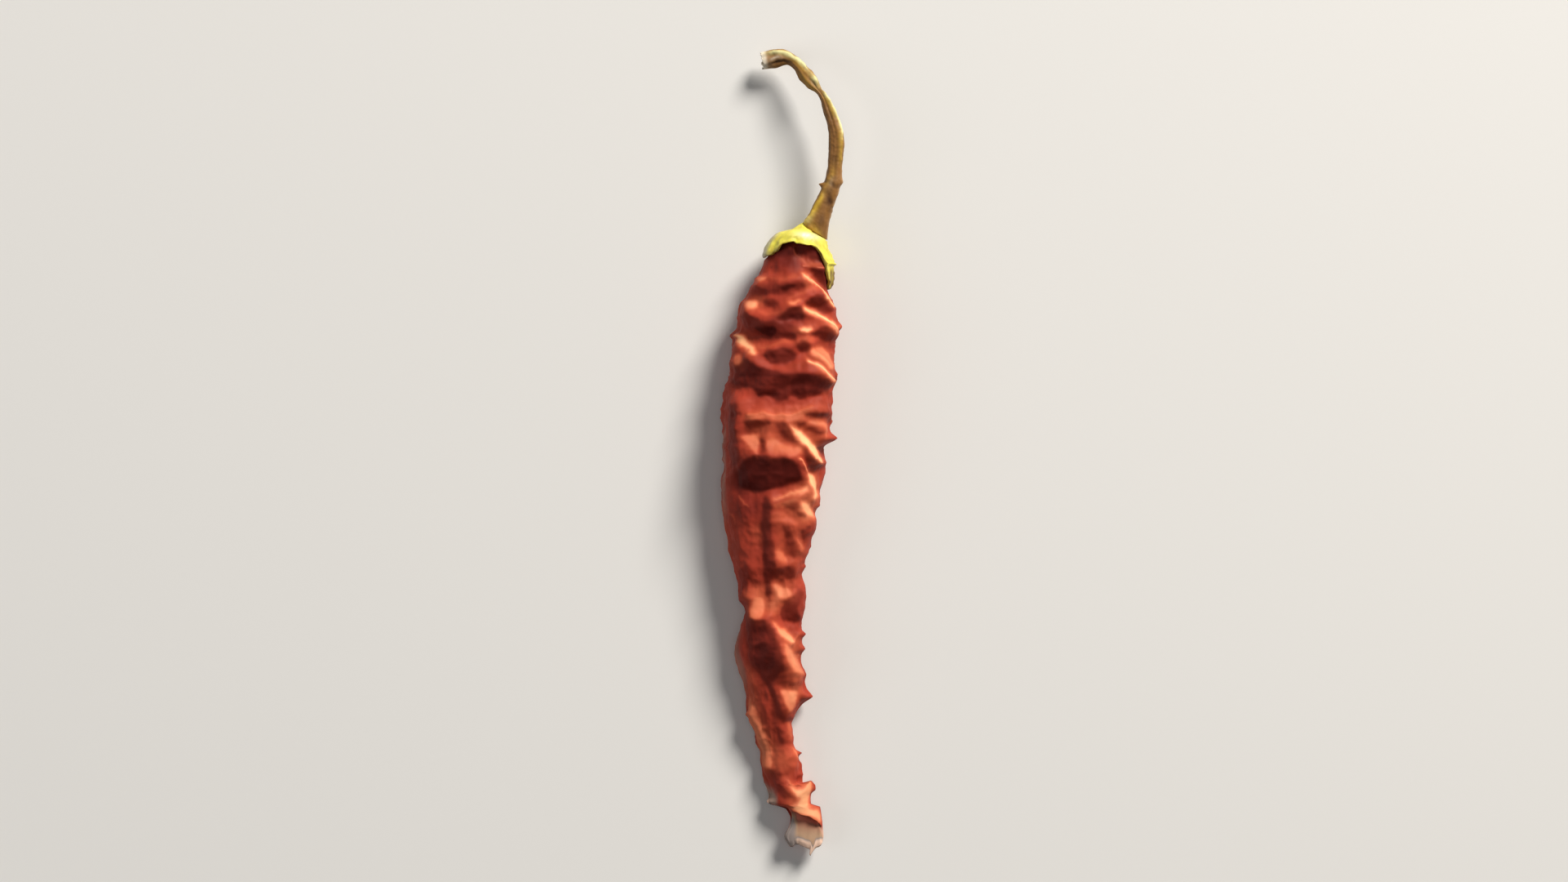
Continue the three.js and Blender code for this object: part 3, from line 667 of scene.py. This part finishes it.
def makePod():
    bm = spunTube(podSet["rings"], podSet["sides"])
    t, angle = tubePlaces(bm)
    along, share, inset, inward, edge = podPlaces(t, angle)
    place, normal = podSection(along, angle)
    wrinkle, paintedShade, paintedLight = podWrinkles(place, angle)
    covered = rise(along - calyxRim(np.degrees(angle)), -0.8, 0.5)
    inset = inset + podSet["under"] * covered
    thinning = 1 - 0.6 * rise(-along, 50, 54)  # the wrinkles are finer near the tip
    place = place + normal * (wrinkle * (1 - covered) * thinning - inset)[:, None]
    centre = np.stack([(leftEdge(along) + rightEdge(along)) / 2, along, middleHeight(along)], 1)
    place = centre + (place - centre) * share[:, None]
    spurX, spurY = podSet["spur"]
    spur = np.exp(-((place[:, 0] - spurX) / 0.55) ** 2 - ((place[:, 1] - spurY) / 0.6) ** 2)
    place[:, 1] += podSet["spurRise"] * spur
    restOnFloor(place, inset)
    turned = rise(lipLine(place[:, 0]) - place[:, 1], -2.8, 0)
    scoop = turned * np.clip(-np.sin(angle), 0, 1) ** 0.5
    place[:, 2] += podSet["scoop"] * scoop
    flesh, tone = fleshOf(place, angle, inward, edge)
    tints = np.stack([paintedShade, paintedLight, flesh, tone], 1)
    finishMesh(bm, "podSkin", place, "pod", podMaterial(), tints)


def restOnFloor(place, inset):  # the underside flattens softly where it meets the table
    floor, soft = 0.02 + inset, 0.5
    low = np.clip(place[:, 2] - floor, None, soft)
    settled = floor + soft * np.exp((low - soft) / soft)
    place[:, 2] = np.where(place[:, 2] < floor + soft, settled, place[:, 2])


def podMaterial():
    layers = [("R", "R", podSet["hollowShadeTones"]), ("G", "G", podSet["paleAndHighlightTones"]),
              ("B", "A", podSet["fleshTones"])]
    return tintedMaterial("driedSkin", podSet["skin"], layers, podSet)


makePod()
print("pod made")


# The calyx, a cap with a rolled rim over the pod's shoulder.

calyxSet = {
    "rings": 150, "sides": 200,
    "collar": 0.1,  # share of the rings that close the cap against the stem
    "outer": 0.6,  # share of the rings over the outside
    "roll": 0.08,  # share round the rim
    "thick": 0.45,
    "swell": 0.14,  # how far the rolled rim stands out
    "ribs": 0.12,
    "ragged": 0.18,  # of the rim
    "middle": 5.0,  # height of its middle
    "pole": (5.3, 33.2, 5.6),  # where it closes, inside the stem
    "inner": 32.6,  # how far up its inner wall reaches
    "highlightSpot": (3.8, 32.75),  # the painted highlight on the collar
    "roughness": 0.5, "specular": 0.35,
    "mottleScale": 520, "mottle": 0.2,
    "bumpScale": 1200, "bump": 0.3,
    "skin": (0.74, 0.66, 0.08),
    # Brown with painted shade, a painted highlight, and a painted pale rim light on the left edge.
    "brownAndShadeTones": [(0, (0.6, 0.47, 0.06)), (0.5, (0.42, 0.29, 0.04)), (1, (0.17, 0.09, 0.022))],
    "highlightTones": [(0, (0.85, 0.8, 0.3)), (1, (0.97, 0.96, 0.62))],
    "rimLightTones": [(0, (0.5, 0.46, 0.36)), (1, (0.5, 0.46, 0.38))],
}
# The cap's two edges and its half depth, along the pepper.
calyxLeft = smoothRun([
    (24, -3.6), (28, -3.2), (29.3, -2.95), (30, -2.9), (31, -2.7), (32, -2.2), (33, -1.2),
    (33.4, -0.6), (33.65, 0.4), (33.9, 1.5), (34.3, 2.1), (34.7, 2.7), (35.1, 3.4), (35.6, 3.75)])
calyxRight = smoothRun([
    (24, 6.8), (24.7, 7.1), (25.3, 7.4), (26, 7.7), (27, 7.85), (28.2, 7.9), (28.55, 8.25), (28.8, 7.95),
    (29.2, 7.85), (30, 7.5), (31, 7.05), (32, 6.85), (33, 6.75), (34, 6.8), (35, 6.9), (35.6, 7.0)])
calyxDepth = smoothRun([
    (24, 4.8), (28, 4.5), (30, 4.35), (31, 4.15), (32, 3.8), (33, 3.3), (33.6, 2.7), (34, 2.2),
    (34.7, 1.7), (35.6, 1.4)])
# The collar's height by the angle round the cap in degrees.
calyxCollar = smoothRun([
    (-180, 35.1), (-140, 34.6), (-100, 34), (-60, 33), (-20, 32.2), (0, 32), (20, 32.2),
    (40, 32.5), (60, 33), (80, 33.5), (100, 33.9), (120, 34.2), (150, 34.7), (180, 35.1)])


def calyxPlaces(t, angle):  # out over the collar, round the rim and back inside
    degrees = np.degrees(angle)
    rim = calyxRim(degrees) + calyxSet["ragged"] * grainAt(ringAt(angle), 7.0, 21)
    collar = calyxCollar(degrees)
    endCollar = calyxSet["collar"]
    endOuter = endCollar + calyxSet["outer"]
    endRoll = endOuter + calyxSet["roll"]
    outside = np.clip((t - endCollar) / calyxSet["outer"], 0, 1)
    turn = np.clip((t - endOuter) / calyxSet["roll"], 0, 1) * pi
    back = np.clip((t - endRoll) / (1 - endRoll), 0, 1)
    y = collar + (rim - collar) * outside ** 0.8 + (calyxSet["inner"] - rim) * back
    y = y - 0.3 * calyxSet["thick"] * np.sin(turn)
    inset = calyxSet["thick"] * (1 - np.cos(turn)) / 2
    swell = calyxSet["swell"] * rise(outside, 0.7, 0.97) * (1 - rise(back, 0, 0.2))
    share = 1 - rise(back, 0.6, 1.0)
    return y, inset - swell, share, np.clip(t / endCollar, 0, 1), outside


def makeCalyx():
    bm = spunTube(calyxSet["rings"], calyxSet["sides"])
    t, angle = tubePlaces(bm)
    y, inset, share, start, outside = calyxPlaces(t, angle)
    c, s = np.cos(angle), np.sin(angle)
    left, right, depth = calyxLeft(y), calyxRight(y), calyxDepth(y)
    ribs = calyxSet["ribs"] * (np.cos(9 * angle + 0.6) + 0.5 * np.cos(17 * angle))
    raw = np.stack([c * 5, y, s * 5], 1)  # a plain round cap, for the lumps
    lumps = 0.16 * grainAt(raw, 0.9, 22) + 0.07 * grainAt(raw, 2.2, 23)
    out = ribs * rise(outside, 0.2, 0.8) + lumps - inset
    centre = np.stack([(left + right) / 2, y, np.full_like(y, calyxSet["middle"])], 1)
    reach = np.stack([c * ((right - left) / 2 + out), 0 * y, s * (depth + out)], 1)
    place = centre + reach * share[:, None]
    pole = np.array(calyxSet["pole"])
    place = pole + (place - pole) * np.sin(start * pi / 2)[:, None]
    finishMesh(bm, "calyxCap", place, "calyx", calyxMaterial(),
               calyxTints(place, angle, outside, start))


def calyxTints(place, angle, outside, start):  # shares of brown with painted shade, of the painted highlight and of the painted rim light
    x, y = place[:, 0], place[:, 1]
    # brown of its own on the right lobe, and painted shade on the left lobe, in the rim, round the stem and
    # underneath
    brownAndShadeParts = [
        rise(28.6 - y, 0, 1.5) * rise(x, 7.0, 7.4) * rise(30 - np.abs(np.degrees(angle)), 0, 6),
        0.6 * rise(26.8 - y, 0, 1.2),  # the tip of its right lobe
        0.6 * rise(-x, -0.4, 1.2) * rise(y, 31.4, 32.6),  # its left shoulder
        0.5 * rise(-x, 0.6, 1.6) * rise(31.6 - y, 0, 1.2),  # its left lobe, painted shade
        0.7 * rise(outside, 0.8, 1.0) * (1 - 0.6 * rise(y, 31, 31.5)),  # painted shadow in the rolled rim
        0.5 * (1 - start) * rise(x, 3.6, 4.6),  # painted shade round the stem
        0.5 * rise(-np.sin(angle), 0.1, 0.6)]  # painted shade underneath
    streaks = grainAt(place * (1.9, 0.45, 1.7), 1.0, 24)
    streaks += 0.6 * grainAt(place * (3.7, 1.1, 3.3), 1.0, 25)
    brownAndShade = np.clip(np.max(brownAndShadeParts, axis=0) + 0.3 * streaks, 0, 1)
    highlightX, highlightY = calyxSet["highlightSpot"]
    # a painted highlight on the collar
    sloped = y - highlightY + 0.12 * (x - highlightX)
    highlight = np.exp(-((x - highlightX) / 1.9) ** 2 - (sloped / 0.55) ** 2)
    patchy = np.clip(0.8 + 0.5 * grainAt(place, 1.1, 26) + 0.3 * grainAt(place, 2.9, 27), 0, 1)
    # a painted pale rim light along the left edge
    rimLight = rise(-np.cos(angle), 0.76, 0.97) * rise(34 - y, 0, 0.6) * patchy
    return np.stack([brownAndShade, highlight, 0.9 * rimLight, np.ones_like(x)], 1)


def calyxMaterial():
    layers = [("R", "R", calyxSet["brownAndShadeTones"]), ("G", "G", calyxSet["highlightTones"]),
              ("B", "B", calyxSet["rimLightTones"])]
    return tintedMaterial("driedCalyx", calyxSet["skin"], layers, calyxSet)


makeCalyx()
print("calyx made")


# The stem, flattened, twisted once at its narrow neck and frayed at its cut end.

stemSet = {
    "rings": 420, "sides": 72, "endRings": 16,
    "wall": 0.3,  # at the open, frayed end
    "ribs": 0.055,
    "slant": 0.85,  # how much lower the right side of its foot sits
    "frayed": 0.93,  # share of its length where the fibres start to show
    "ragged": (0.006, 0.005),  # coarse and fine, of its end, as shares of its length
    "hollowEnd": 0.02,  # how deep that end is open
    "roughness": 0.55, "specular": 0.3,
    "mottleScale": 500, "mottle": 0.2,
    "bumpScale": 1300, "bump": 0.4,
    "bark": (0.25, 0.112, 0.027),
    # Dark lines, with painted shade underneath and inside the open end.
    "darkAndShadeTones": [(0, (0.1, 0.045, 0.015)), (1, (0.065, 0.024, 0.009))],
    "goldTones": [(0, (0.4, 0.23, 0.035)), (1, (0.58, 0.36, 0.04))],
    "tanTones": [(0, (0.36, 0.22, 0.11)), (0.6, (0.5, 0.34, 0.2)), (1, (0.8, 0.7, 0.55))],
    # Pale: painted highlights on the raised right edge and ridges, and the pale top of the cut end.
    "paleAndHighlightTones": [(0, (0.7, 0.58, 0.2)), (1, (0.9, 0.83, 0.4))],
}
# Along the middle of the stem: (x, y, z, half width, half depth).
stemStations = [
    (5.05, 32.9, 5.6, 1.7, 1.2), (5.25, 34.5, 5.7, 1.7, 1.25), (5.7, 36, 5.7, 1.58, 1.2),
    (6.47, 38, 5.8, 1.43, 1.1), (7.35, 40, 5.9, 1.27, 1.1), (7.82, 42, 6, 1.18, 1.05),
    (7.97, 44, 6.1, 1.06, 0.95), (8.17, 46, 6.2, 1.16, 0.9), (8.12, 48, 6.1, 1.13, 0.85),
    (7.7, 50, 6, 0.9, 0.8), (7.0, 52, 5.7, 0.82, 0.75), (6.2, 54, 5.4, 0.55, 0.7),
    (5.6, 54.85, 5.2, 0.47, 0.65), (4.6, 56.1, 4.9, 0.98, 0.7), (3.55, 57.4, 4.5, 1.05, 0.7),
    (2.5, 58.8, 4.1, 0.86, 0.7), (1.3, 59.85, 3.7, 0.9, 0.7), (0, 60.2, 3.4, 1.25, 0.75),
    (-1.5, 60.0, 3.1, 1.4, 0.8), (-3.3, 59.75, 2.8, 1.25, 0.8)]
# Lines along the upper face: (tone, strength, half width, height, the line).
stemLines = [
    ("gold", 1, 0.42, 0.3, [(2.9, 33.4), (3.8, 34.8), (4.6, 36), (5.3, 37.4), (6, 38.8), (6.4, 39.8)]),
    ("gold", 0.85, 0.7, 0, [(4.2, 34.4), (5, 33.6), (5.8, 32.9), (6.5, 32.2)]),
    ("gold", 0.45, 0.5, 0, [(5.4, 54.2), (4.4, 55.4), (3.2, 56.8), (2.4, 58)]),
    ("gold", 0.4, 0.45, 0, [(6.4, 39.6), (7, 41), (7.6, 42.2), (7.7, 43.6)]),
    ("gold", 0.65, 0.35, 0.15, [(8.7, 43.4), (8.9, 45.5), (8.9, 47.6), (8.6, 49.2)]),
    ("gold", 0.7, 0.28, 0.12, [(8.1, 50.6), (7.6, 51.8), (6.9, 53.2), (6.1, 54.4)]),
    ("gold", 0.5, 0.3, 0.1, [(4, 57.2), (3, 58.2), (2, 59.4), (0.8, 60)]),
    # painted highlight along the raised right edge
    ("pale", 0.9, 0.2, 0.25, [(9, 47.4), (8.9, 48.8), (8.45, 50.4), (7.9, 51.7), (7.2, 53.2), (6.4, 54.5),
                              (5.8, 55.3)]),
    ("pale", 0.5, 0.45, 0, [(3.2, 33.6), (4, 34.8), (4.6, 36.2)]),
    ("pale", 1, 0.36, 0.25, [(5.5, 55.6), (5.1, 56.3), (4.6, 57.1), (4.2, 57.6)]),
    ("pale", 1, 0.3, 0.2, [(3.9, 57.9), (3.3, 58.7), (2.3, 59.7), (1.2, 60.4), (0, 60.8), (-1.4, 60.9),
                           (-2.6, 60.7)]),
    ("dark", 0.5, 0.6, 0, [(5.7, 34), (6.1, 35.6), (6.5, 36.8)]),
    ("dark", 1, 0.5, -0.12, [(6.9, 39.4), (7.2, 38.2), (7.3, 36.8)]),
    ("dark", 1, 0.3, -0.1, [(6.8, 41), (7.6, 40.5), (8.2, 40)]),
    ("dark", 0.4, 0.4, -0.1, [(7.8, 43.2), (7.6, 46), (7.7, 48), (7.3, 50.4), (6.7, 52.2)]),
    ("dark", 0.8, 0.16, -0.15, [(5.3, 55.1), (4.8, 55.9), (4.1, 57)]),
    ("dark", 0.9, 0.22, -0.35, [(1.4, 59.35), (0.3, 59.6), (-0.8, 59.45), (-1.9, 59)]),
    ("tan", 0.8, 0.4, 0.1, [(0.6, 60.2), (-0.6, 60.2), (-1.8, 59.8), (-2.8, 59.4)]),
    ("tan", 0.5, 0.45, 0, [(7, 39.9), (7.6, 41.4), (8.4, 41.4)]),
]
# Points along its edges: (side, x, y, how far out, half length).
stemPoints = [(-1, 6.2, 40.5, 0.75, 0.35), (1, 8.9, 41, 0.35, 0.5), (1, 7.8, 36.5, 0.3, 0.3),
              (-1, 3.0, 57.0, 0.2, 0.5), (1, 4.4, 58, 0.15, 0.5)]


def stemPlaces(t):  # middle, sideways direction and half sizes at every point
    stations = np.array(stemStations)
    lengths = np.append(0, np.cumsum(np.linalg.norm(np.diff(stations[:, :3], axis=0), axis=1)))
    runs = [smoothRun(list(zip(lengths, stations[:, k])), steady=False) for k in range(5)]
    travel, ahead = t * lengths[-1], 0.05
    middle = np.stack([run(travel) for run in runs[:3]], 1)
    before = np.stack([run(np.clip(travel - ahead, 0, None)) for run in runs[:3]], 1)
    after = np.stack([run(np.clip(travel + ahead, None, lengths[-1])) for run in runs[:3]], 1)
    forward = after - before
    side = np.stack([forward[:, 1], -forward[:, 0], 0 * t], 1)
    side /= np.linalg.norm(side, axis=1)[:, None]
    return middle, side, runs[3](travel), runs[4](travel)


def makeStem():
    bm = spunTube(stemSet["rings"], stemSet["sides"])
    t, angle = tubePlaces(bm)
    outer = 1 - stemSet["endRings"] / stemSet["rings"]
    inward = np.clip((t - outer) / (1 - outer), 0, 1)
    ring = ringAt(angle)
    coarse, fine = stemSet["ragged"]
    ragged = coarse * grainAt(ring, 3.0, 31) + fine * grainAt(ring, 8.0, 32)
    f = np.clip(t / outer, 0, 1) * (1 + (ragged - coarse) * rise(t, 0.85, outer))
    f = f - stemSet["hollowEnd"] * inward
    middle, side, halfWidth, depth = stemPlaces(f)
    c, s = np.cos(angle), np.sin(angle)
    up = np.array((0, 0, 1.0))
    edge = middle + side * (c * halfWidth)[:, None]
    for way, x, y, out, halfLength in stemPoints:
        near = np.exp(-(np.hypot(edge[:, 0] - x, edge[:, 1] - y) / halfLength) ** 2)
        halfWidth = halfWidth + out * near * np.clip(c * way, 0, 1) ** 3
    ribs = stemSet["ribs"] * (np.cos(5 * angle + 3 * f) + 0.3 * np.cos(11 * angle - 4 * f))
    flatPlace = middle + side * (c * halfWidth)[:, None] + up * (s * depth)[:, None]
    rough = 0.06 * grainAt(flatPlace, 1.2, 33) + 0.03 * grainAt(flatPlace, 3.0, 34)
    tones, raised = stemTones(flatPlace, angle)
    inset = stemSet["wall"] * np.clip(inward * 5, 0, 1)
    ends = np.minimum(rise(t, 0, 0.01), 1 - rise(inward, 0.6, 1.0))
    out = ribs + rough + raised - inset
    reach = side * (c * (halfWidth + out))[:, None] + up * (s * (depth + out))[:, None]
    place = middle + reach * ends[:, None]
    place[:, 1] -= stemSet["slant"] * c * ends * (1 - rise(t, 0, 0.09))
    frayed = rise(f, stemSet["frayed"], 0.97)
    tones["tan"] = np.maximum(tones["tan"], 0.5 * frayed + 0.5 * rise(f, 0.96, 0.985))
    # painted shade inside the open end
    tones["dark"] = np.maximum(tones["dark"], rise(inward, 0.2, 0.5))
    tints = np.stack([tones["dark"], tones["gold"], tones["tan"], tones["pale"]], 1)
    finishMesh(bm, "stemStalk", place, "stem", stemMaterial(), tints)


def stemTones(place, angle):  # each tone's share, and how far the lines stand up
    x = place[:, 0] + 0.12 * grainAt(place, 1.2, 35)
    y = place[:, 1] + 0.12 * grainAt(place, 1.2, 36)
    upper = rise(np.sin(angle), -0.3, 0.2)
    tones = {name: np.zeros(len(x)) for name in ("dark", "gold", "tan", "pale")}
    raised = np.zeros(len(x))
    for name, strength, halfWidth, height, line in stemLines:
        near = np.exp(-(lineDistance(x, y, line) / halfWidth) ** 2) * upper
        ends = [np.hypot(x - px, y - py) for px, py in (line[0], line[-1])]
        near = near * (0.3 + 0.7 * rise(np.minimum(*ends), 0, 1.4))  # a line sets in softly
        tones[name] = np.maximum(tones[name], near * strength)
        raised = raised + near * height
    # painted shade underneath
    tones["dark"] = np.maximum(tones["dark"], 0.4 * (1 - upper))
    greyed = 0.5 * rise(np.abs(np.cos(angle)), 0.9, 1.0) * rise(46 - y, 0, 3)
    tones["tan"] = np.maximum(tones["tan"], greyed)
    return tones, raised


def stemMaterial():
    layers = [("R", "R", stemSet["darkAndShadeTones"]), ("G", "G", stemSet["goldTones"]),
              ("B", "B", stemSet["tanTones"]), ("A", "A", stemSet["paleAndHighlightTones"])]
    return tintedMaterial("driedStem", stemSet["bark"], layers, stemSet)


makeStem()
print("stem made")


# The table and the lights.

lightSet = {
    # name: (place in mm, size in mm, watts, colour)
    "key": ((720, 1030, 780), 560, 32, (1, 0.96, 0.9)),
    "fill": ((-840, -120, 520), 600, 1.4, (0.95, 0.97, 1)),
    "overhead": ((-60, -40, 1200), 900, 1.2, (1, 1, 1)),
}
tableSet = {"halfSize": 2.0, "colour": (0.8, 0.79, 0.77), "roughness": 0.9}  # size in metres
worldSet = {"colour": (1, 0.98, 0.95), "strength": 0.07}


def addLights():
    for name, (place, size, watts, colour) in lightSet.items():
        data = bpy.data.lights.new(name, "AREA")
        data.shape = "DISK"
        data.size = size * mm
        data.energy = watts
        data.color = colour
        lamp = bpy.data.objects.new(name, data)
        lamp.location = Vector(place) * mm
        lamp.rotation_euler = (-lamp.location).to_track_quat("-Z", "Y").to_euler()
        bpy.context.scene.collection.objects.link(lamp)


def addTable():
    bm = bmesh.new()
    bmesh.ops.create_grid(bm, x_segments=1, y_segments=1, size=tableSet["halfSize"])
    mesh = bpy.data.meshes.new("table")
    bm.to_mesh(mesh)
    bm.free()
    material = bpy.data.materials.new("paleTable")
    material.use_nodes = True
    shader = material.node_tree.nodes["Principled BSDF"]
    shader.inputs["Base Color"].default_value = (*tableSet["colour"], 1)
    shader.inputs["Roughness"].default_value = tableSet["roughness"]
    mesh.materials.append(material)
    table = bpy.data.objects.new("table", mesh)
    bpy.context.scene.collection.objects.link(table)


def addWorld():
    world = bpy.data.worlds.new("studio")
    world.use_nodes = True
    background = world.node_tree.nodes["Background"]
    background.inputs["Color"].default_value = (*worldSet["colour"], 1)
    background.inputs["Strength"].default_value = worldSet["strength"]
    bpy.context.scene.world = world
    bpy.context.scene.view_settings.view_transform = "Standard"


addLights()
addTable()
addWorld()
print("studio made")
